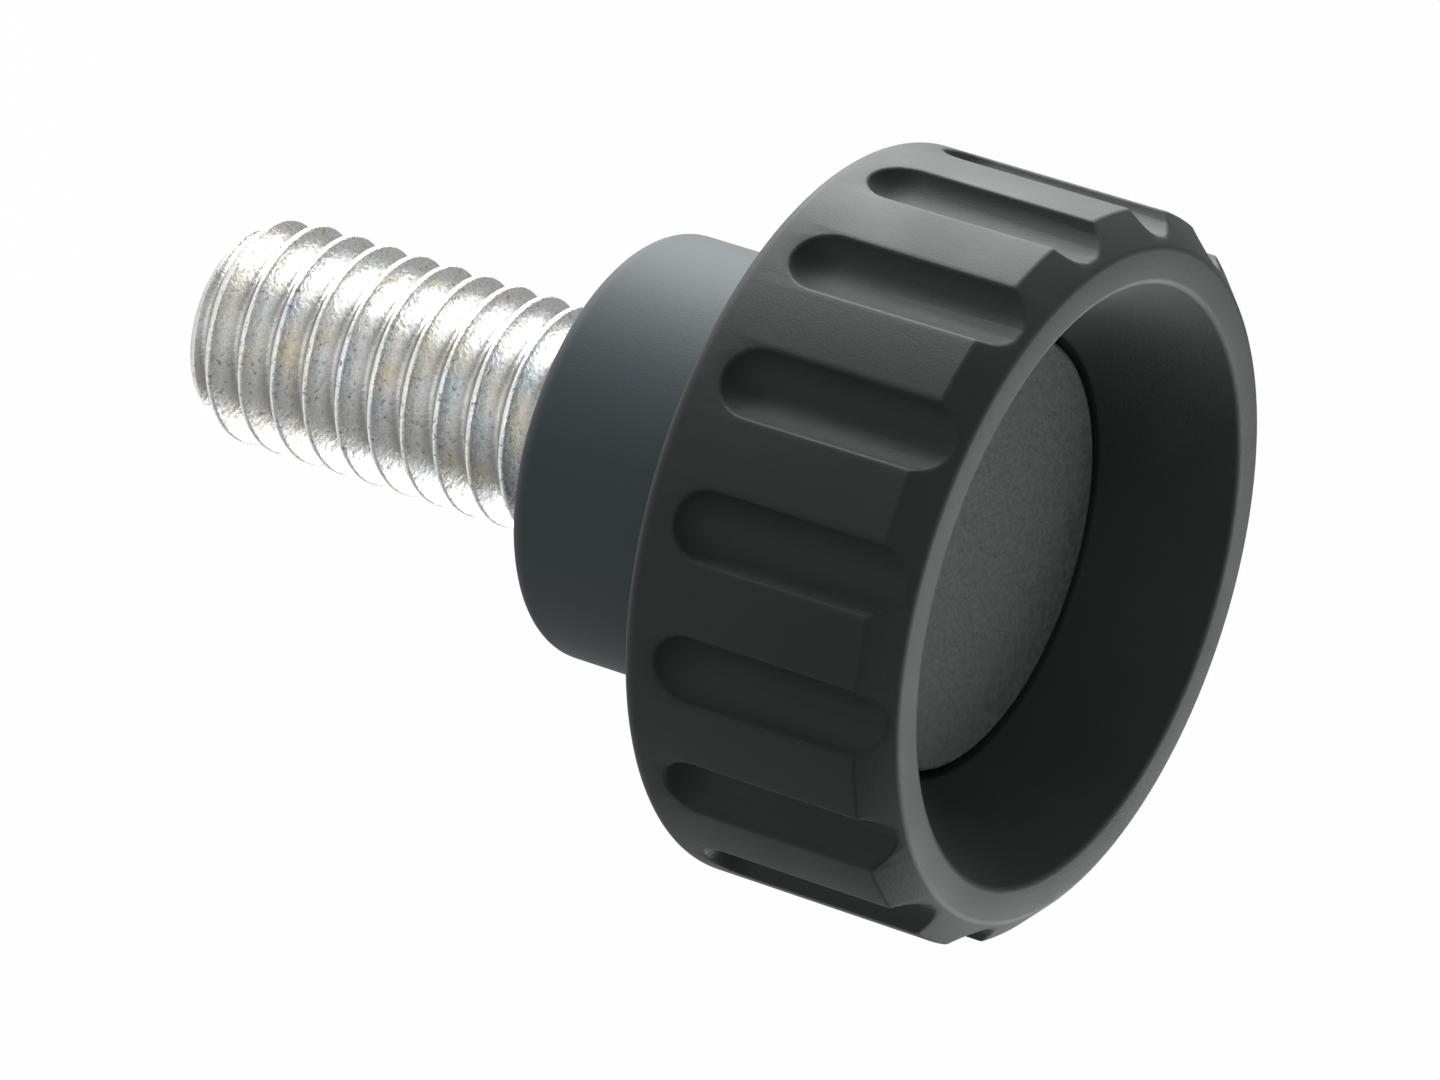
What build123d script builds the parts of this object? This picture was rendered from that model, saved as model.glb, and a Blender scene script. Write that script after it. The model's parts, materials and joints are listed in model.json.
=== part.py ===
"""Adjustment knob: a fluted plastic grip with a hub, a threaded steel stud moulded into it,
and a cap that closes the core at the bottom of the dished face.

Frame: millimetres. +Z runs along the knob's axis, out of the dished face.
The origin is the centre of the hub's seat face, where the stud comes out.
"""
import os

from build123d import *

# Grip: the fluted part that the fingers turn
GRIP_DIAMETER = 19.0
GRIP_LENGTH = 7.5
BACK_EDGE_RADIUS = 0.4
CHAMFER_RADIAL = 0.8        # front chamfer, measured across the axis
CHAMFER_AXIAL = 0.8         # front chamfer, measured along the axis
RING_WIDTH = 0.9            # flat ring between the front chamfer and the dish
FRONT_EDGE_RADIUS = 0.12    # small rounding at the front of the lands and on the ring

# Flutes: round-bottomed grooves along the axis, closed at the back and open through the chamfer
FLUTE_COUNT = 16
FLUTE_WIDTH = 1.9
FLUTE_DEPTH = 0.6
FLUTE_END_MARGIN = 0.95     # land between a flute's closed end and the back of the grip

# Hub: the smooth boss behind the grip, whose end is the seat
HUB_DIAMETER = 11.2
HUB_LENGTH = 5.9
HUB_EDGE_RADIUS = 0.5
HUB_ROOT_RADIUS = 0.3       # where the hub meets the back of the grip

# Closing cap and the dish above it
DISH_DEPTH = 3.0            # from the ring down to the cap's face
CAP_DIAMETER = 11.3
CAP_THICKNESS = 1.0
CAP_GAP = 0.2               # open groove round the cap
CAP_EDGE_RADIUS = 0.15
SPIGOT_DIAMETER = 7.0       # the cap's peg, pressed into the core hole
SPIGOT_LENGTH = 1.5
SPIGOT_END_CLEARANCE = 0.3  # air between the peg and the bottom of the core hole

# Stud: M6 coarse thread, kept here as a rod of the thread's outer diameter
STUD_DIAMETER = 6.0
STUD_LENGTH = 12.0          # from the seat face to the tip
TIP_CHAMFER_RADIAL = 0.65
TIP_CHAMFER_AXIAL = 1.1
RUNOUT_LENGTH = 0.5         # the thread runs out into the hub, from the seat face inwards
NECK_REDUCTION = 0.65       # the plain shank in the hub has the thread's pitch diameter
NECK_LENGTH = 1.9           # plain shank between the run-out and the anchor
ANCHOR_ACROSS_FLATS = 7.5   # hexagonal anchor that the plastic grips
ANCHOR_LENGTH = 2.6

HEIGHT_TOLERANCE = 1e-6     # how near an edge's height must be to count as there

# Radii and heights that follow from the sizes above
grip_radius = GRIP_DIAMETER / 2
ring_outer_radius = grip_radius - CHAMFER_RADIAL
ring_inner_radius = ring_outer_radius - RING_WIDTH
hub_radius = HUB_DIAMETER / 2
cap_radius = CAP_DIAMETER / 2
pocket_radius = cap_radius + CAP_GAP
spigot_radius = SPIGOT_DIAMETER / 2
stud_radius = STUD_DIAMETER / 2
neck_radius = (STUD_DIAMETER - NECK_REDUCTION) / 2

front_z = HUB_LENGTH + GRIP_LENGTH
cap_face_z = front_z - DISH_DEPTH
cap_seat_z = cap_face_z - CAP_THICKNESS
spigot_end_z = cap_seat_z - SPIGOT_LENGTH
core_floor_z = spigot_end_z - SPIGOT_END_CLEARANCE
anchor_z = RUNOUT_LENGTH + NECK_LENGTH

# A flute is a cylinder with a ball end. Its width and depth at the grip's surface give its radius.
flute_radius = ((FLUTE_WIDTH / 2) ** 2 + FLUTE_DEPTH ** 2) / (2 * FLUTE_DEPTH)
flute_axis_radius = grip_radius - FLUTE_DEPTH + flute_radius
flute_start_z = HUB_LENGTH + FLUTE_END_MARGIN + FLUTE_WIDTH / 2
flute_length = front_z - flute_start_z + flute_radius


# Threaded stud: rod with a chamfered tip, run-out, plain neck and hexagonal anchor
with BuildPart() as threaded_stud:
    with BuildSketch(Plane.XZ):
        with BuildLine():
            Polyline(
                (0, -STUD_LENGTH),
                (stud_radius - TIP_CHAMFER_RADIAL, -STUD_LENGTH),
                (stud_radius, TIP_CHAMFER_AXIAL - STUD_LENGTH),
                (stud_radius, 0),
                (neck_radius, RUNOUT_LENGTH),
                (neck_radius, anchor_z),
                (0, anchor_z),
                close=True,
            )
        make_face()
    revolve(axis=Axis.Z)
    with BuildSketch(Plane.XY.offset(anchor_z)):
        RegularPolygon(radius=ANCHOR_ACROSS_FLATS / 2, side_count=6, major_radius=False)
    extrude(amount=ANCHOR_LENGTH)


# Knob head: grip, dish and hub in one moulding round the stud
with BuildPart() as knob_head:
    with BuildSketch(Plane.XZ):
        with BuildLine():
            Polyline(
                (0, 0),
                (hub_radius, 0),
                (hub_radius, HUB_LENGTH),
                (grip_radius, HUB_LENGTH),
                (grip_radius, front_z - CHAMFER_AXIAL),
                (ring_outer_radius, front_z),
                (ring_inner_radius, front_z),
                (pocket_radius, cap_face_z),
                (pocket_radius, cap_seat_z),
                (spigot_radius, cap_seat_z),
                (spigot_radius, core_floor_z),
                (0, core_floor_z),
                close=True,
            )
        make_face()
    revolve(axis=Axis.Z)

    # Round edges, each found by its height: seat, hub's root, back of the grip, lands and ring
    def circles_at(height):
        circles = knob_head.edges().filter_by(GeomType.CIRCLE)
        at_height = circles.filter_by(lambda edge: abs(edge.center().Z - height) < HEIGHT_TOLERANCE)
        return at_height.sort_by(SortBy.RADIUS)

    fillet(circles_at(0), HUB_EDGE_RADIUS)
    fillet(circles_at(HUB_LENGTH)[-1], BACK_EDGE_RADIUS)
    fillet(circles_at(HUB_LENGTH)[0], HUB_ROOT_RADIUS)
    fillet(circles_at(front_z - CHAMFER_AXIAL), FRONT_EDGE_RADIUS)
    fillet(circles_at(front_z), FRONT_EDGE_RADIUS)

    # Flutes round the grip, half a step from the +X axis
    with Locations((0, 0, flute_start_z)):
        with PolarLocations(flute_axis_radius, FLUTE_COUNT, start_angle=180 / FLUTE_COUNT):
            Cylinder(
                radius=flute_radius,
                height=flute_length,
                align=(Align.CENTER, Align.CENTER, Align.MIN),
                mode=Mode.SUBTRACT,
            )
            Sphere(radius=flute_radius, mode=Mode.SUBTRACT)

    # The moulding closes tightly round the buried end of the stud
    add(threaded_stud.part, mode=Mode.SUBTRACT)


# Closing cap: a thin disc with a peg on its back
with BuildPart() as closing_cap:
    with BuildSketch(Plane.XY.offset(cap_seat_z)):
        Circle(cap_radius)
    extrude(amount=CAP_THICKNESS)
    fillet(closing_cap.edges().group_by(Axis.Z)[-1], CAP_EDGE_RADIUS)
    with BuildSketch(Plane.XY.offset(spigot_end_z)):
        Circle(spigot_radius)
    extrude(amount=SPIGOT_LENGTH)


threaded_stud.part.label = "threaded_stud"
knob_head.part.label = "knob_head"
closing_cap.part.label = "closing_cap"

os.makedirs("parts", exist_ok=True)
export_step(threaded_stud.part, "parts/threaded_stud.step")
export_step(knob_head.part, "parts/knob_head.step")
export_step(closing_cap.part, "parts/closing_cap.step")
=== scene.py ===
# %% [markdown]
# # A fluted adjustment knob
#
# The real object is a small black plastic knob, moulded round a zinc-plated steel stud.
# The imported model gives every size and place. It comes in first, as a fixed frame, and each
# piece made here goes where the frame says, in metres.

# %% Load the frame
import json
import math

import bmesh
import bpy
from mathutils import Matrix, Vector


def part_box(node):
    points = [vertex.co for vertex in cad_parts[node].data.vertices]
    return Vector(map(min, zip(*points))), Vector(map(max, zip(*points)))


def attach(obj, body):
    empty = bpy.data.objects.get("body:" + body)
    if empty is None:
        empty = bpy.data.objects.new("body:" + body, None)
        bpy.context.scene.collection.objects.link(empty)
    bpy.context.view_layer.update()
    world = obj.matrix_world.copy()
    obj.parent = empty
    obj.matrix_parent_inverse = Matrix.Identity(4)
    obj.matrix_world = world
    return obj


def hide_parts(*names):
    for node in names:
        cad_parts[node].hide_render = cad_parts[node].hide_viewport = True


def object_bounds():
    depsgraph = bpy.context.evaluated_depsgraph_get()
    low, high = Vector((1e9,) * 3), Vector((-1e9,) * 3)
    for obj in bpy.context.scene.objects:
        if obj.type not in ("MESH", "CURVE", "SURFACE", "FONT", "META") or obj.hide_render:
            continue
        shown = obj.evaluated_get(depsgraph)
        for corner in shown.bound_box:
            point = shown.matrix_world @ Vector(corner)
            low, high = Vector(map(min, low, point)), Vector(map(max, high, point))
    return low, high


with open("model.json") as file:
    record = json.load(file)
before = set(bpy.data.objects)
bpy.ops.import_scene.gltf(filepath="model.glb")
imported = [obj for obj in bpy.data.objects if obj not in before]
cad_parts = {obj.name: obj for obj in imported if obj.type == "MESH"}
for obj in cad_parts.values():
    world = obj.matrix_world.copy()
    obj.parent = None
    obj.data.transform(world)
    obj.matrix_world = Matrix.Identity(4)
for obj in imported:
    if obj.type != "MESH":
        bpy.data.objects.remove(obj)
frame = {"nodes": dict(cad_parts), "record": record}
cad_low, cad_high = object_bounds()
MM = 0.001

head_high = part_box("knob_head")[1]
stud_low, stud_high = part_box("threaded_stud")
cap_low, cap_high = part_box("closing_cap")
print("object from", cad_low[:], "to", cad_high[:])

# %% [markdown]
# ## The camera
#
# The knob is seen from far away through a long lens, so that circles stay even ellipses. The
# camera could be placed by eye, but a few plain angles say more: how high it
# stands above the seat's plane, how far round the knob, and how far it is rolled. The roll
# lays the stud down to the left while the model itself keeps standing on its own axis.

# %% Camera
CAMERA_ELEVATION = math.radians(27.6)
CAMERA_AZIMUTH = math.radians(2.5)
CAMERA_ROLL = math.radians(17.8)      # how far the knob's axis falls below level
CAMERA_DISTANCE = 252 * MM
AIM_HEIGHT = 3.36 * MM                # where the centre line meets the axis
AIM_SIDE = -1.63 * MM                 # and how far it passes beside it
LENS_LENGTH = 250                     # as Blender counts it, in millimetres
SENSOR_WIDTH = 36
NEAREST_SEEN = 0.01

to_camera = Vector((
    math.cos(CAMERA_ELEVATION) * math.cos(CAMERA_AZIMUTH),
    math.cos(CAMERA_ELEVATION) * math.sin(CAMERA_AZIMUTH),
    math.sin(CAMERA_ELEVATION),
))
axis_seen = (Vector((0, 0, 1)) - to_camera * to_camera.z).normalized()
across_seen = to_camera.cross(axis_seen)
camera_right = math.cos(CAMERA_ROLL) * axis_seen + math.sin(CAMERA_ROLL) * across_seen
camera_up = -math.sin(CAMERA_ROLL) * axis_seen + math.cos(CAMERA_ROLL) * across_seen
aim = Vector((0, 0, AIM_HEIGHT)) + AIM_SIDE * across_seen

camera_data = bpy.data.cameras.new("camera")
camera_data.sensor_width = SENSOR_WIDTH
camera_data.lens = LENS_LENGTH
camera_data.clip_start = NEAREST_SEEN
camera = bpy.data.objects.new("camera", camera_data)
bpy.context.scene.collection.objects.link(camera)
turn = Matrix((camera_right, camera_up, to_camera)).transposed()
camera.matrix_world = Matrix.Translation(aim + CAMERA_DISTANCE * to_camera) @ turn.to_4x4()
bpy.context.scene.camera = camera
print("camera at", camera.location[:])

# %% [markdown]
# ## Helpers for working by hand
#
# Modelling in Blender is selecting something and then acting on it. These helpers do the
# selecting: they enter and leave edit mode, and pick vertices, edges or faces by a test on
# where they are. An operator acts on all that is selected, so each one starts from nothing
# selected.

# %% Helpers
MERGE_DISTANCE = 0.0002 * MM


def only(obj):
    """Make obj the one selected and active object, in object mode."""
    if bpy.context.object and bpy.context.object.mode != "OBJECT":
        bpy.ops.object.mode_set(mode="OBJECT")
    bpy.ops.object.select_all(action="DESELECT")
    obj.select_set(True)
    bpy.context.view_layer.objects.active = obj


def edit(obj):
    """Enter edit mode on obj alone, with nothing of its mesh selected."""
    only(obj)
    bpy.ops.object.mode_set(mode="EDIT")
    bpy.ops.mesh.select_all(action="DESELECT")


def pick(obj, kind, test):
    """In edit mode, select the VERT, EDGE or FACE items that pass the test."""
    bpy.ops.mesh.select_mode(type=kind)
    bpy.ops.mesh.select_all(action="DESELECT")
    shape = bmesh.from_edit_mesh(obj.data)
    items = {"VERT": shape.verts, "EDGE": shape.edges, "FACE": shape.faces}[kind]
    found = [item for item in items if test(item)]
    for item in found:
        item.select_set(True)
    bmesh.update_edit_mesh(obj.data)
    return len(found)


def radius_of(point):
    return math.hypot(point.x, point.y)


def middle(edge):
    return (edge.verts[0].co + edge.verts[1].co) / 2


def apply_modifier(obj, kind, **settings):
    """Give obj a modifier with these settings and apply it."""
    only(obj)
    modifier = obj.modifiers.new(kind.lower(), kind)
    for name, value in settings.items():
        setattr(modifier, name, value)
    bpy.ops.object.modifier_apply(modifier=modifier.name)


def draw_line(name, points):
    """Draw a line of (radius, height) points in the XZ plane, by extruding a single vertex."""
    bpy.ops.object.select_all(action="DESELECT")
    bpy.ops.mesh.primitive_plane_add(size=MM, location=(0, 0, 0))
    line = bpy.context.object
    line.name = line.data.name = name
    edit(line)
    bpy.ops.mesh.select_mode(type="VERT")
    bpy.ops.mesh.select_all(action="SELECT")
    bpy.ops.mesh.merge(type="COLLAPSE")
    place = (0, 0)
    for index, point in enumerate(points):
        step = (point[0] - place[0], 0, point[1] - place[1])
        if index == 0:
            bpy.ops.transform.translate(value=step)
        else:
            bpy.ops.mesh.extrude_region_move(TRANSFORM_OT_translate={"value": step})
        place = point
    return line


def round_corner(line, corner, size, segments):
    """Round one corner of a line, named by its (radius, height), by a bevel of its vertex."""
    place = Vector((corner[0], 0, corner[1]))
    count = pick(line, "VERT", lambda v: (v.co - place).length < MERGE_DISTANCE)
    if count != 1:
        raise ValueError(f"{count} corners at {corner}")
    bpy.ops.mesh.bevel(offset=size, segments=segments, affect="VERTICES", clamp_overlap=False)


def merge_and_face_out(obj):
    """Merge doubles and turn every face outwards."""
    edit(obj)
    bpy.ops.mesh.select_all(action="SELECT")
    bpy.ops.mesh.remove_doubles(threshold=MERGE_DISTANCE)
    bpy.ops.mesh.select_all(action="SELECT")
    bpy.ops.mesh.normals_make_consistent(inside=False)
    bpy.ops.object.mode_set(mode="OBJECT")


def report(obj):
    """Print what a finished mesh measures, and how many of its edges are open."""
    shape = bmesh.new()
    shape.from_mesh(obj.data)
    triangles = sum(len(face.verts) - 2 for face in shape.faces)
    loose = sum(1 for edge in shape.edges if len(edge.link_faces) != 2)
    volume = shape.calc_volume(signed=True) / MM ** 3
    low = [round(min(v.co[i] for v in shape.verts) / MM, 3) for i in range(3)]
    high = [round(max(v.co[i] for v in shape.verts) / MM, 3) for i in range(3)]
    shape.free()
    print(f"{obj.name}: {triangles} triangles, {loose} open edges, {volume:.1f} mm3, {low} to {high}")


print("points closer than", MERGE_DISTANCE, "m count as one")

# %% [markdown]
# ## The threaded stud
#
# The stud is a steel screw with a coarse metric thread, rolled and then zinc plated, so its
# crests and roots are rounded and its flanks stand at 60 degrees. A thread could be faked with
# rings or with a bump, but its helix shows at the outline. Here one pitch of the profile is
# drawn as a line and wound up by the Screw modifier. The wound skin runs past both ends, and
# a Boolean with a chamfered rod then cuts it to length and closes it.

# %% One pitch of the thread, as a line
stud_mount = next(m for m in frame["record"]["mounts"] if m["name"] == "stud")
THREAD_PITCH = 1.0 * MM
CREST_FLAT = THREAD_PITCH / 8
THREAD_DEPTH = 0.6134 * THREAD_PITCH
HALF_THREAD_ANGLE = math.radians(30)
FLANK_RUN = THREAD_DEPTH * math.tan(HALF_THREAD_ANGLE)
CREST_ROUNDING = 0.055 * MM
ROOT_ROUNDING = 0.075 * MM
crest_radius = stud_mount["dims"]["r_mm"] * MM
root_radius = crest_radius - THREAD_DEPTH

root_half = (THREAD_PITCH - CREST_FLAT - 2 * FLANK_RUN) / 2
crest_start = root_half + FLANK_RUN
crest_end = crest_start + CREST_FLAT
THREAD_START = stud_low.z - 1.5 * THREAD_PITCH

thread_points = [
    (root_radius, THREAD_START),
    (root_radius, THREAD_START + root_half),
    (crest_radius, THREAD_START + crest_start),
    (crest_radius, THREAD_START + crest_end),
    (root_radius, THREAD_START + crest_end + FLANK_RUN),
    (root_radius, THREAD_START + THREAD_PITCH),
]
stud = draw_line("steel_stud", thread_points)
for corner in thread_points[2:4]:
    round_corner(stud, corner, CREST_ROUNDING, 3)
for corner in (thread_points[1], thread_points[4]):
    round_corner(stud, corner, ROOT_ROUNDING, 3)
bpy.ops.object.mode_set(mode="OBJECT")
print("thread depth", round(THREAD_DEPTH / MM, 3), "mm; root radius", round(root_radius / MM, 3), "mm")

# %% Wind it up
THREAD_TURNS = 15
STEPS_PER_TURN = 96
apply_modifier(
    stud, "SCREW", axis="Z", angle=math.tau, screw_offset=THREAD_PITCH,
    iterations=THREAD_TURNS, steps=STEPS_PER_TURN, render_steps=STEPS_PER_TURN,
)
edit(stud)
bpy.ops.mesh.select_all(action="SELECT")
bpy.ops.mesh.remove_doubles(threshold=MERGE_DISTANCE)
# Both ends are open. A cap over each makes the skin a solid that a Boolean can cut.
for at_end in (lambda z: z < 0, lambda z: z > 0):
    open_edges = pick(stud, "EDGE", lambda e: e.is_boundary and at_end(middle(e).z))
    bpy.ops.mesh.edge_face_add()
bpy.ops.mesh.select_all(action="SELECT")
bpy.ops.mesh.normals_make_consistent(inside=False)
bpy.ops.object.mode_set(mode="OBJECT")
print("edges at each open end:", open_edges)
report(stud)

# %% The rod that it is cut with
ROD_CLEARANCE = 0.05 * MM
ROD_RADIUS = crest_radius + ROD_CLEARANCE  # clear of the crests, so only the ends are cut
TIP_CHAMFER = 0.65 * MM
TIP_RADIUS = crest_radius - TIP_CHAMFER
TIP_SLOPE = 1.1 / 0.65                     # chamfer length for each unit of its depth
TIP_ROUNDING = 0.3 * MM
RUNOUT_TOP = 0.5 * MM                      # the thread ends just inside the hub
ROD_SIDES = 110                            # not the thread's own count of steps, and turned
ROD_TURN = math.radians(0.7)               # a little, so that no two edges lie in line

rod_bottom = stud_low.z + (ROD_RADIUS - TIP_RADIUS) * TIP_SLOPE
bpy.ops.object.select_all(action="DESELECT")
bpy.ops.mesh.primitive_cylinder_add(
    vertices=ROD_SIDES, radius=ROD_RADIUS, depth=RUNOUT_TOP - rod_bottom,
    location=(0, 0, (RUNOUT_TOP + rod_bottom) / 2), rotation=(0, 0, ROD_TURN),
)
rod = bpy.context.object
only(rod)
bpy.ops.object.transform_apply(location=True, rotation=True, scale=False)
edit(rod)
pick(rod, "FACE", lambda f: f.normal.z < -0.9)
bpy.ops.mesh.extrude_region_move(TRANSFORM_OT_translate={"value": (0, 0, stud_low.z - rod_bottom)})
tip_scale = TIP_RADIUS / ROD_RADIUS
bpy.ops.transform.resize(value=(tip_scale, tip_scale, 1), center_override=(0, 0, 0))
pick(rod, "EDGE", lambda e: all(v.co.z < stud_low.z + MERGE_DISTANCE for v in e.verts))
bpy.ops.mesh.bevel(offset=TIP_ROUNDING, segments=5, affect="EDGES")
bpy.ops.object.mode_set(mode="OBJECT")
apply_modifier(stud, "BOOLEAN", operation="INTERSECT", object=rod, solver="EXACT")
bpy.data.objects.remove(rod)
report(stud)

# %% The neck and the anchor inside the hub
# They hold the stud in the plastic and never show. The anchor is a hexagonal bar end.
ANCHOR_BOTTOM = 2.4 * MM
ANCHOR_CHAMFER = 0.3 * MM
NECK_REDUCTION = 0.325 * MM
NECK_SIDES = 50
NECK_SHIFT = 0.1 * MM
NECK_CHAMFER = 0.1 * MM
STUD_SMOOTH_ANGLE = math.radians(35)
anchor_top = stud_high.z
anchor_radius = stud_high.x
neck_radius = crest_radius - NECK_REDUCTION
bpy.ops.object.select_all(action="DESELECT")
bpy.ops.mesh.primitive_cylinder_add(
    vertices=6, radius=anchor_radius, depth=anchor_top - ANCHOR_BOTTOM,
    location=(0, 0, (anchor_top + ANCHOR_BOTTOM) / 2), rotation=(0, 0, math.radians(30)),
)
anchor = bpy.context.object
only(anchor)
bpy.ops.object.transform_apply(location=True, rotation=True, scale=False)
edit(anchor)
pick(anchor, "EDGE", lambda e: abs(e.verts[0].co.z - e.verts[1].co.z) < MERGE_DISTANCE)
bpy.ops.mesh.bevel(offset=ANCHOR_CHAMFER, segments=1, affect="EDGES")
bpy.ops.object.mode_set(mode="OBJECT")
anchor_low, anchor_high = Vector(anchor.bound_box[0]), Vector(anchor.bound_box[6])
print("anchor from", anchor_low[:], "to", anchor_high[:])

bpy.ops.object.select_all(action="DESELECT")
bpy.ops.mesh.primitive_cylinder_add(
    vertices=NECK_SIDES, radius=neck_radius, depth=ANCHOR_BOTTOM + MM,
    location=(0, 0, ANCHOR_BOTTOM / 2 + NECK_SHIFT), rotation=(0, 0, 2 * ROD_TURN),
)
neck = bpy.context.object
only(neck)
bpy.ops.object.transform_apply(location=True, rotation=True, scale=False)
edit(neck)
pick(neck, "EDGE", lambda e: all(v.co.z < 0 for v in e.verts))
bpy.ops.mesh.bevel(offset=NECK_CHAMFER, segments=2, affect="EDGES")
bpy.ops.object.mode_set(mode="OBJECT")
for part in (neck, anchor):
    apply_modifier(stud, "BOOLEAN", operation="UNION", object=part, solver="EXACT")
    bpy.data.objects.remove(part)
merge_and_face_out(stud)
only(stud)
bpy.ops.object.shade_smooth_by_angle(angle=STUD_SMOOTH_ANGLE)
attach(stud, "root")
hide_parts("threaded_stud")
report(stud)

# %% [markdown]
# ## The knob's head
#
# The head is one moulding: a hub, a grip with sixteen flutes and a dished face. Mould makers
# round every outer edge a little, and it is those roundings that catch the light. The frame's
# own head has crisp flute edges, so this one stands for it. Its outline is drawn as a line
# with rounded corners and spun, the flutes are cut with a capsule copied sixteen times, and
# the edges that the cut leaves are bevelled.

# %% The head's outline
BACK_Z = 5.9 * MM
front_z = head_high.z
GRIP_RADIUS = head_high.x
HUB_RADIUS = 5.6 * MM
CHAMFER = 0.8 * MM
RING_WIDTH = 0.9 * MM
CAP_GAP = 0.2 * MM
CAP_THICKNESS = 1.0 * MM
PEG_CLEARANCE = 0.3 * MM
PEG_RADIUS = 3.5 * MM
HOLE_MARGIN = 0.1 * MM
SEAT_ROUNDING = 0.5 * MM
HUB_ROOT_ROUNDING = 0.3 * MM
BACK_RIM_ROUNDING = 0.4 * MM
LAND_FRONT_ROUNDING = 0.07 * MM
RING_EDGE_ROUNDING = 0.1 * MM
RING_LIP_ROUNDING = 0.12 * MM
DISH_FOOT_ROUNDING = 0.05 * MM

dish_z = cap_high.z
pocket_radius = cap_high.x + CAP_GAP
cap_seat_z = dish_z - CAP_THICKNESS
core_floor_z = cap_low.z - PEG_CLEARANCE
hole_radius = root_radius + HOLE_MARGIN    # the plastic comes near the thread's roots
ring_outer = GRIP_RADIUS - CHAMFER
ring_inner = ring_outer - RING_WIDTH

seat_corner = (HUB_RADIUS, 0)
hub_root = (HUB_RADIUS, BACK_Z)
back_rim = (GRIP_RADIUS, BACK_Z)
land_front = (GRIP_RADIUS, front_z - CHAMFER)
ring_edge = (ring_outer, front_z)
ring_lip = (ring_inner, front_z)
dish_foot = (pocket_radius, dish_z)
head_points = [
    (0, anchor_top),
    (anchor_high.y, anchor_top),
    (anchor_high.y, ANCHOR_BOTTOM),
    (hole_radius, ANCHOR_BOTTOM),
    (hole_radius, 0),
    seat_corner,
    hub_root,
    back_rim,
    land_front,
    ring_edge,
    ring_lip,
    dish_foot,
    (pocket_radius, cap_seat_z),
    (PEG_RADIUS, cap_seat_z),
    (PEG_RADIUS, core_floor_z),
    (0, core_floor_z),
]
head = draw_line("grip_head", head_points)
round_corner(head, seat_corner, SEAT_ROUNDING, 8)
round_corner(head, hub_root, HUB_ROOT_ROUNDING, 5)
round_corner(head, back_rim, BACK_RIM_ROUNDING, 8)
round_corner(head, land_front, LAND_FRONT_ROUNDING, 4)
round_corner(head, ring_edge, RING_EDGE_ROUNDING, 4)
round_corner(head, ring_lip, RING_LIP_ROUNDING, 5)
round_corner(head, dish_foot, DISH_FOOT_ROUNDING, 2)
bpy.ops.object.mode_set(mode="OBJECT")
print("outline of", len(head.data.vertices), "points")

# %% Spin it
FLUTE_COUNT = 16
STEPS_PER_FLUTE = 12
head_steps = FLUTE_COUNT * STEPS_PER_FLUTE
flute_step = math.tau / FLUTE_COUNT
# Half a facet of turn keeps the facets' edges away from the flutes' mouths.
head.rotation_euler.z = math.pi / head_steps
only(head)
bpy.ops.object.transform_apply(location=False, rotation=True, scale=False)
edit(head)
bpy.ops.mesh.select_all(action="SELECT")
bpy.ops.mesh.spin(steps=head_steps, angle=math.tau, center=(0, 0, 0), axis=(0, 0, 1))
merge_and_face_out(head)
report(head)

# %% Cut the flutes
FLUTE_WIDTH = 1.9 * MM
FLUTE_DEPTH = 0.6 * MM
FLUTE_MARGIN = 0.95 * MM
CUTTER_OVERRUN = 0.5 * MM                  # the cutter stands out past the front
flute_radius = ((FLUTE_WIDTH / 2) ** 2 + FLUTE_DEPTH ** 2) / (2 * FLUTE_DEPTH)
flute_axis = GRIP_RADIUS - FLUTE_DEPTH + flute_radius
flute_start = BACK_Z + FLUTE_MARGIN + FLUTE_WIDTH / 2
flute_rise = front_z - flute_start + CUTTER_OVERRUN

bpy.ops.object.select_all(action="DESELECT")
# The sphere's pole points at the axis, so that its rings run along the mouth.
bpy.ops.mesh.primitive_uv_sphere_add(
    segments=32, ring_count=16, radius=flute_radius,
    location=(flute_axis, 0, flute_start), rotation=(0, math.pi / 2, 0),
)
cutter = bpy.context.object
only(cutter)
bpy.ops.object.transform_apply(location=True, rotation=True, scale=False)
edit(cutter)
pick(cutter, "VERT", lambda v: v.co.z > flute_start + MERGE_DISTANCE)
bpy.ops.transform.translate(value=(0, 0, flute_rise))
bpy.ops.object.mode_set(mode="OBJECT")
cutter.rotation_euler.z = flute_step / 2
bpy.ops.object.transform_apply(location=False, rotation=True, scale=False)
cutters = [cutter]
for index in range(1, FLUTE_COUNT):
    copy = cutter.copy()
    copy.data = cutter.data.copy()
    bpy.context.scene.collection.objects.link(copy)
    copy.rotation_euler.z = index * flute_step
    cutters.append(copy)
only(cutter)
for part in cutters:
    part.select_set(True)
bpy.ops.object.join()
only(cutter)
bpy.ops.object.transform_apply(location=True, rotation=True, scale=True)
apply_modifier(head, "BOOLEAN", operation="DIFFERENCE", object=cutter, solver="EXACT")
bpy.data.objects.remove(cutter)
report(head)

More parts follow.
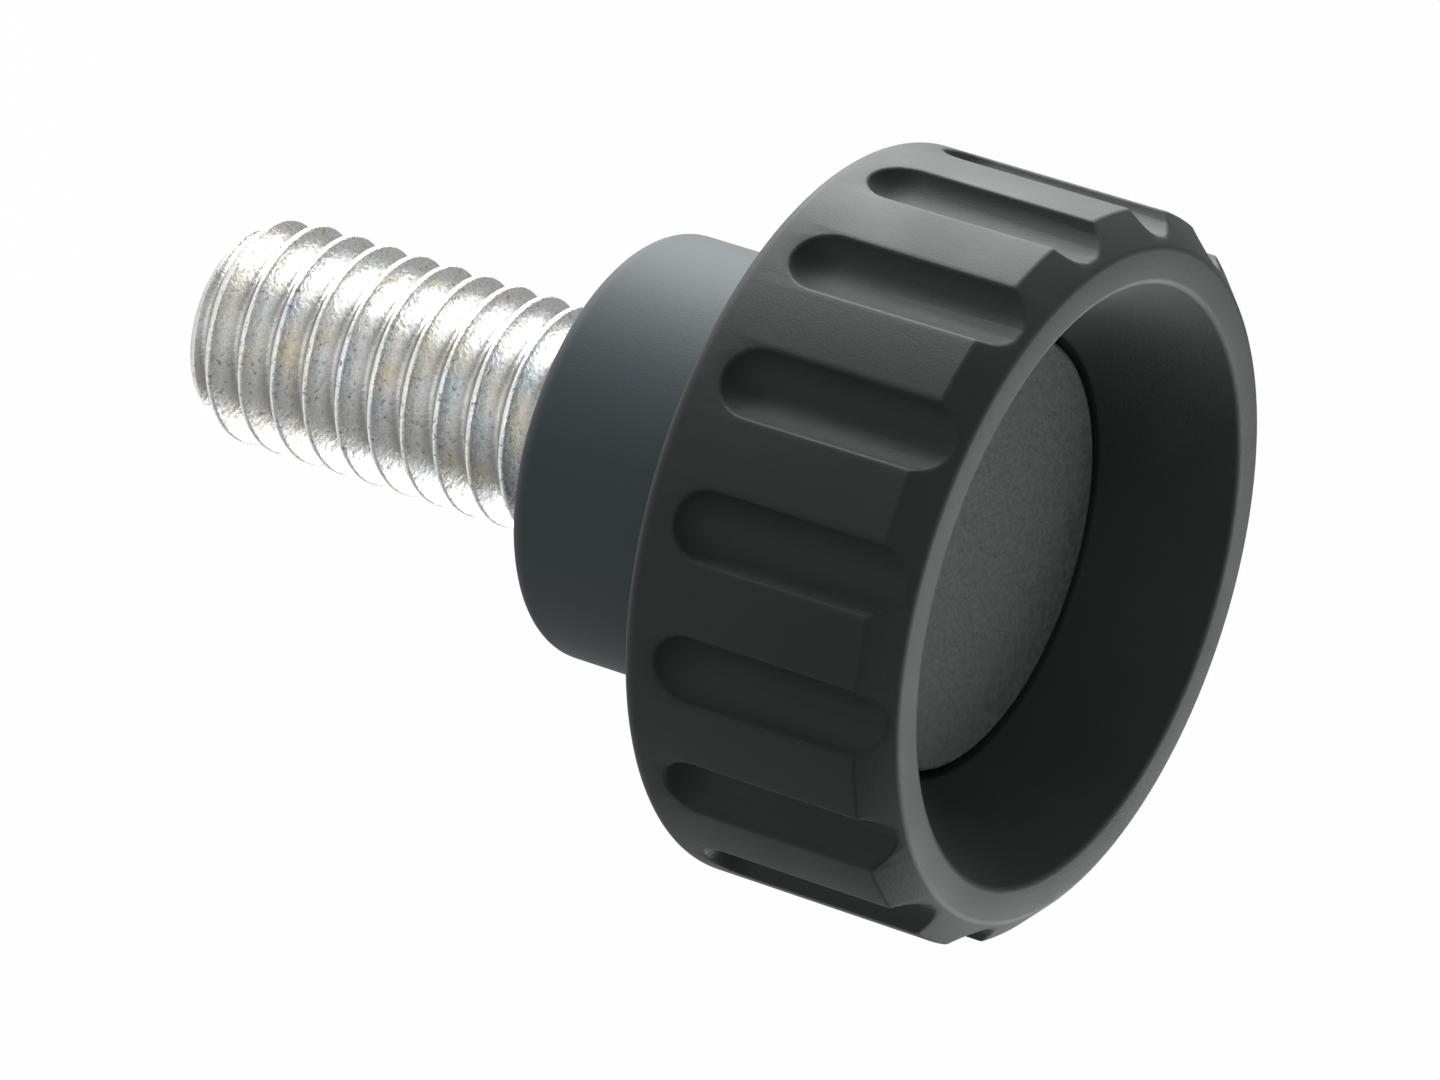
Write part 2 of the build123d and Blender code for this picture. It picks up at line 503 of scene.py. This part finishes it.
# %% Round the flutes' edges
MOUTH_ROUNDING = 0.07 * MM
MOUTH_ANGLE = math.radians(30)
MOUTH_REACH = 0.2 * MM                     # how far inside the ring's outer edge a mouth may lie
HEAD_SMOOTH_ANGLE = math.radians(32)
edit(head)
mouths = pick(
    head, "EDGE",
    lambda e: len(e.link_faces) == 2 and e.calc_face_angle(0) > MOUTH_ANGLE
    and radius_of(middle(e)) > ring_outer - MOUTH_REACH and middle(e).z > BACK_Z + FLUTE_MARGIN / 2,
)
bpy.ops.mesh.bevel(
    offset=MOUTH_ROUNDING, segments=3, affect="EDGES", clamp_overlap=False, loop_slide=True,
)
bpy.ops.object.mode_set(mode="OBJECT")
merge_and_face_out(head)
only(head)
bpy.ops.object.shade_smooth_by_angle(angle=HEAD_SMOOTH_ANGLE)
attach(head, "root")
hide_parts("knob_head")
print("edges of the flutes:", mouths)
report(head)

# %% [markdown]
# ## Materials
#
# All three finishes carry a fine texture. On the plastics it comes from the mould: the steel
# was spark eroded, which leaves shallow rounded grains. It is one effect at several scales, so
# it is a node group that each material places with its own values. The group puts out a
# height for the bump and a slow mottle for the colour and the gloss.

# %% A node group for the moulded grain
def new_socket(group, name, in_out, kind, value=None):
    socket = group.interface.new_socket(name=name, in_out=in_out, socket_type=kind)
    if value is not None:
        socket.default_value = value
    return socket


grain = bpy.data.node_groups.new("moulded_grain", "ShaderNodeTree")
new_socket(grain, "Vector", "INPUT", "NodeSocketVector")
new_socket(grain, "Grains per metre", "INPUT", "NodeSocketFloat", 9000.0)
new_socket(grain, "Mottle per metre", "INPUT", "NodeSocketFloat", 500.0)
new_socket(grain, "Height", "OUTPUT", "NodeSocketFloat")
new_socket(grain, "Mottle", "OUTPUT", "NodeSocketFloat")
grain_in = grain.nodes.new("NodeGroupInput")
grain_out = grain.nodes.new("NodeGroupOutput")
fine = grain.nodes.new("ShaderNodeTexNoise")
fine.inputs["Detail"].default_value = 3.0
fine.inputs["Roughness"].default_value = 0.6
slow = grain.nodes.new("ShaderNodeTexNoise")
slow.inputs["Detail"].default_value = 4.0
slow.inputs["Roughness"].default_value = 0.55
grain.links.new(grain_in.outputs["Vector"], fine.inputs["Vector"])
grain.links.new(grain_in.outputs["Vector"], slow.inputs["Vector"])
grain.links.new(grain_in.outputs["Grains per metre"], fine.inputs["Scale"])
grain.links.new(grain_in.outputs["Mottle per metre"], slow.inputs["Scale"])
grain.links.new(fine.outputs["Fac"], grain_out.inputs["Height"])
grain.links.new(slow.outputs["Fac"], grain_out.inputs["Mottle"])
print("group", grain.name, [item.name for item in grain.interface.items_tree])


# %% Helpers for materials
def new_material(name):
    """A new node material: its tree, its Principled shader and its Object coordinates."""
    material = bpy.data.materials.new(name)
    material.use_nodes = True
    nodes = material.node_tree.nodes
    shader = nodes.get("Principled BSDF")
    place = nodes.new("ShaderNodeTexCoord")
    return material, shader, place.outputs["Object"]


def ramp(material, source, low, high, low_value, high_value):
    """Map a value between low and high to another pair of values."""
    node = material.node_tree.nodes.new("ShaderNodeMapRange")
    node.inputs["From Min"].default_value = low
    node.inputs["From Max"].default_value = high
    node.inputs["To Min"].default_value = low_value
    node.inputs["To Max"].default_value = high_value
    material.node_tree.links.new(source, node.inputs["Value"])
    return node.outputs["Result"]


def mix_colours(material, factor, first, second):
    """Blend two colours by a factor from another node."""
    node = material.node_tree.nodes.new("ShaderNodeMix")
    node.data_type = "RGBA"
    material.node_tree.links.new(factor, node.inputs["Factor"])
    sockets = [s for s in node.inputs if s.type == "RGBA"]
    for socket, colour in zip(sockets, (first, second)):
        if isinstance(colour, tuple):
            socket.default_value = (*colour, 1.0)
        else:
            material.node_tree.links.new(colour, socket)
    return next(s for s in node.outputs if s.type == "RGBA")


def height_mask(material, place, low, high):
    """A value that goes from 0 to 1 between two heights on the knob's axis."""
    nodes, links = material.node_tree.nodes, material.node_tree.links
    parts = nodes.new("ShaderNodeSeparateXYZ")
    links.new(place, parts.inputs[0])
    return ramp(material, parts.outputs["Z"], low, high, 0.0, 1.0)


def plastic(name, dark, light, grains, mottles, bump, rough_low, rough_high, specular, lower_painted_light_and_gloss=None):
    """A matte moulded plastic whose colour, gloss and bump come from the grain group.

    The last argument, if given, is (low, high, colour, roughness): below that step in height the
    plastic has another gloss, and a colour that is painted light, paler for the light that falls on
    that part.
    """
    material, shader, place = new_material(name)
    nodes, links = material.node_tree.nodes, material.node_tree.links
    texture = nodes.new("ShaderNodeGroup")
    texture.node_tree = grain
    texture.inputs["Grains per metre"].default_value = grains
    texture.inputs["Mottle per metre"].default_value = mottles
    links.new(place, texture.inputs["Vector"])
    shade = ramp(material, texture.outputs["Mottle"], 0.3, 0.7, 0.0, 1.0)
    colour = mix_colours(material, shade, dark, light)
    gloss = ramp(material, texture.outputs["Mottle"], 0.3, 0.7, rough_low, rough_high)
    if lower_painted_light_and_gloss:
        low, high, lower_painted_light, lower_roughness = lower_painted_light_and_gloss
        above = height_mask(material, place, low, high)
        # Painted light: below the step the colour is a paler tone for the light falling there.
        colour = mix_colours(material, above, lower_painted_light, colour)
        glossy = nodes.new("ShaderNodeMix")
        links.new(above, glossy.inputs["Factor"])
        glossy.inputs["A"].default_value = lower_roughness
        links.new(gloss, glossy.inputs["B"])
        gloss = glossy.outputs["Result"]
    links.new(colour, shader.inputs["Base Color"])
    links.new(gloss, shader.inputs["Roughness"])
    relief = nodes.new("ShaderNodeBump")
    relief.inputs["Strength"].default_value = 1.0
    relief.inputs["Distance"].default_value = bump
    links.new(texture.outputs["Height"], relief.inputs["Height"])
    links.new(relief.outputs["Normal"], shader.inputs["Normal"])
    shader.inputs["Specular IOR Level"].default_value = specular
    return material


print("materials that came with the frame:", len(bpy.data.materials))

# %% The two plastics
# The head is fine and even, and its hub is a little duller than the grip. The hub is also painted paler
# and bluer, as painted light for the extra light that falls on it. The cap comes from another mould
# with a coarser grain, and it is a shade lighter.
HUB_PAINTED_LIGHT_COLOUR = (0.030, 0.040, 0.045)
HUB_ROUGHNESS = 0.66
HUB_BLEND = 0.2 * MM          # half the height over which the hub's painted light and its gloss give way

head_plastic = plastic(
    "head_plastic_black", dark=(0.011, 0.015, 0.014), light=(0.017, 0.021, 0.020),
    grains=14000, mottles=450, bump=0.006 * MM, rough_low=0.56, rough_high=0.64, specular=0.25,
    lower_painted_light_and_gloss=(BACK_Z - HUB_BLEND, BACK_Z + HUB_BLEND, HUB_PAINTED_LIGHT_COLOUR, HUB_ROUGHNESS),
)
cap_plastic = plastic(
    "cap_plastic_grained", dark=(0.005, 0.008, 0.007), light=(0.030, 0.037, 0.035),
    grains=3500, mottles=4500, bump=0.05 * MM, rough_low=0.6, rough_high=0.7, specular=0.2,
)
head.data.materials.clear()
head.data.materials.append(head_plastic)
cap = frame["nodes"]["closing_cap"]
for index in range(len(cap.material_slots)):
    cap.material_slots[index].material = cap_plastic
print("plastics", head_plastic.name, cap_plastic.name)

# %% [markdown]
# ## Zinc plate
#
# Bright zinc over a rolled thread is metal with a soft shine: fine speckle from the plating bath, small
# dull spots, and faint yellow and blue tints where the clear passivation is a little thicker. The
# colour, roughness and bump come from noise at different scales. The colour also carries a painted
# shade that darkens the thread's roots.

# %% The zinc
ZINC_COLOUR = (0.84, 0.84, 0.82)
YELLOW_TINT = (0.84, 0.77, 0.64)
BLUE_TINT = (0.74, 0.80, 0.84)
SPOT_COLOUR = (0.30, 0.31, 0.30)
# Painted shade: the grey that the thread's roots are darkened to.
ROOT_SHADE_COLOUR = (0.55, 0.55, 0.53)
ROOT_SHADE_REACH = 0.35 * MM                # how far below the crests the painted root shade ends
SPECKLE_HEIGHT = 0.03 * MM

zinc, shader, place = new_material("zinc_plate")
nodes, links = zinc.node_tree.nodes, zinc.node_tree.links
shader.inputs["Metallic"].default_value = 1.0

tint = nodes.new("ShaderNodeTexNoise")
tint.inputs["Scale"].default_value = 700
tint.inputs["Detail"].default_value = 2.0
links.new(place, tint.inputs["Vector"])
speckle = nodes.new("ShaderNodeTexNoise")
speckle.inputs["Scale"].default_value = 6500
speckle.inputs["Detail"].default_value = 4.0
speckle.inputs["Roughness"].default_value = 0.7
links.new(place, speckle.inputs["Vector"])

warm = ramp(zinc, tint.outputs["Fac"], 0.52, 0.7, 0.0, 1.0)
cool = ramp(zinc, tint.outputs["Fac"], 0.45, 0.3, 0.0, 1.0)
tinted = mix_colours(zinc, warm, ZINC_COLOUR, YELLOW_TINT)
tinted = mix_colours(zinc, cool, tinted, BLUE_TINT)
spots = ramp(zinc, speckle.outputs["Fac"], 0.44, 0.34, 0.0, 1.0)
spotted = mix_colours(zinc, spots, tinted, SPOT_COLOUR)
# Painted shade: the thread's roots are darkened towards a grey, for the shade that falls in them, while
# the crests keep the zinc's own colour. The distance from the axis tells them apart.
flat = nodes.new("ShaderNodeVectorMath")
flat.operation = "MULTIPLY"
flat.inputs[1].default_value = (1, 1, 0)
links.new(place, flat.inputs[0])
distance = nodes.new("ShaderNodeVectorMath")
distance.operation = "LENGTH"
links.new(flat.outputs["Vector"], distance.inputs[0])
clear_of_root_shade = ramp(zinc, distance.outputs["Value"], root_radius, crest_radius - ROOT_SHADE_REACH, 0.0, 1.0)
links.new(mix_colours(zinc, clear_of_root_shade, ROOT_SHADE_COLOUR, spotted), shader.inputs["Base Color"])
links.new(ramp(zinc, speckle.outputs["Fac"], 0.3, 0.7, 0.40, 0.20), shader.inputs["Roughness"])
relief = nodes.new("ShaderNodeBump")
relief.inputs["Distance"].default_value = SPECKLE_HEIGHT
links.new(speckle.outputs["Fac"], relief.inputs["Height"])
links.new(relief.outputs["Normal"], shader.inputs["Normal"])
stud.data.materials.clear()
stud.data.materials.append(zinc)
print("zinc nodes:", len(nodes))

# %% [markdown]
# ## Floor and surroundings
#
# The knob is shown on pure white. The floor is a white table that lies across the knob's
# axis, well below the stud. To the camera, and in shiny surfaces, most of its white is its
# own, and the rest is the light that falls on it, so that it keeps the knob's shadow. The
# world around it is a plain grey room. Its even glow fills the shadows, and where plastic and
# zinc mirror it they stay darker than where they mirror the table.

# %% White for the camera, and the floor
def seen_directly(nodes, links):
    """A value that is 1 for camera, glossy and transmission rays, and 0 for all others."""
    path = nodes.new("ShaderNodeLightPath")
    total = path.outputs["Is Camera Ray"]
    for name in ("Is Glossy Ray", "Is Transmission Ray"):
        either = nodes.new("ShaderNodeMath")
        either.operation = "MAXIMUM"
        links.new(total, either.inputs[0])
        links.new(path.outputs[name], either.inputs[1])
        total = either.outputs[0]
    return total


FLOOR_Z = -350 * MM
FLOOR_SIZE = 2.4
FLOOR_OWN_WHITE = 0.98        # the share of the floor's white that is its own
PAPER_WHITE = 0.85
bpy.ops.object.select_all(action="DESELECT")
bpy.ops.mesh.primitive_plane_add(size=FLOOR_SIZE, location=(0, 0, 0))
floor = bpy.context.object
floor.name = "floor"
edit(floor)
bpy.ops.mesh.select_all(action="SELECT")
bpy.ops.transform.translate(value=(0, 0, FLOOR_Z))
bpy.ops.object.mode_set(mode="OBJECT")

floor_white = bpy.data.materials.new("floor_white")
floor_white.use_nodes = True
nodes, links = floor_white.node_tree.nodes, floor_white.node_tree.links
nodes.clear()
paper = nodes.new("ShaderNodeBsdfDiffuse")
paper.inputs["Color"].default_value = (PAPER_WHITE, PAPER_WHITE, PAPER_WHITE, 1)
glow = nodes.new("ShaderNodeEmission")
glow.inputs["Strength"].default_value = 1.0
amount = nodes.new("ShaderNodeMath")
amount.operation = "MULTIPLY"
amount.inputs[1].default_value = FLOOR_OWN_WHITE
links.new(seen_directly(nodes, links), amount.inputs[0])
both = nodes.new("ShaderNodeMixShader")
links.new(amount.outputs[0], both.inputs[0])
links.new(paper.outputs[0], both.inputs[1])
links.new(glow.outputs[0], both.inputs[2])
surface = nodes.new("ShaderNodeOutputMaterial")
links.new(both.outputs[0], surface.inputs["Surface"])
floor.data.materials.append(floor_white)
print("floor", FLOOR_SIZE, "m wide at", FLOOR_Z, "m, own white", FLOOR_OWN_WHITE)

# %% World
WORLD_GREY = 0.35
world = bpy.data.worlds.new("studio")
bpy.context.scene.world = world
world.use_nodes = True
room = world.node_tree.nodes["Background"]
room.inputs["Color"].default_value = (WORLD_GREY, WORLD_GREY, WORLD_GREY, 1)
room.inputs["Strength"].default_value = 1.0
print("world grey", WORLD_GREY)

# %% [markdown]
# ## Lamps
#
# One large soft lamp stands beside the knob and below its seat, which is over the knob as the
# camera sees it. The upper lands and the hub's top mirror it, and the dish stays dark. Two
# weaker ones behind the dish give the front ring its grey sheen, and a weak one near the
# camera shows the inside of the dish.

# %% Lamps
def add_lamp(name, azimuth, elevation, distance, size, power):
    """A square area lamp that looks at the middle of the knob, placed by its angles."""
    data = bpy.data.lights.new(name, "AREA")
    data.shape = "SQUARE"
    data.size = size
    data.energy = power
    lamp = bpy.data.objects.new(name, data)
    bpy.context.scene.collection.objects.link(lamp)
    around, up = math.radians(azimuth), math.radians(elevation)
    away = Vector((math.cos(up) * math.cos(around), math.cos(up) * math.sin(around), math.sin(up)))
    middle_of_knob = (cad_low + cad_high) / 2
    lamp.location = middle_of_knob + distance * away
    lamp.rotation_euler = away.to_track_quat("Z", "Y").to_euler()
    lamp.visible_camera = False
    return lamp


key = add_lamp("key_lamp", azimuth=-98, elevation=-26, distance=0.35, size=0.36, power=4.8)
top_lamp = add_lamp("top_lamp", azimuth=180, elevation=60, distance=0.5, size=0.35, power=1.4)
ring_lamp = add_lamp("ring_lamp", azimuth=160, elevation=25, distance=0.5, size=0.3, power=2.4)
fill = add_lamp("fill_lamp", azimuth=10, elevation=10, distance=0.5, size=0.4, power=0.6)
for lamp in (key, top_lamp, ring_lamp, fill):
    print(lamp.name, "at", [round(x, 3) for x in lamp.location])

# %% [markdown]
# ## Finish
#
# The view transform is set to Standard.

# %% View and finish
bpy.context.scene.view_settings.view_transform = "Standard"
bpy.context.view_layer.update()
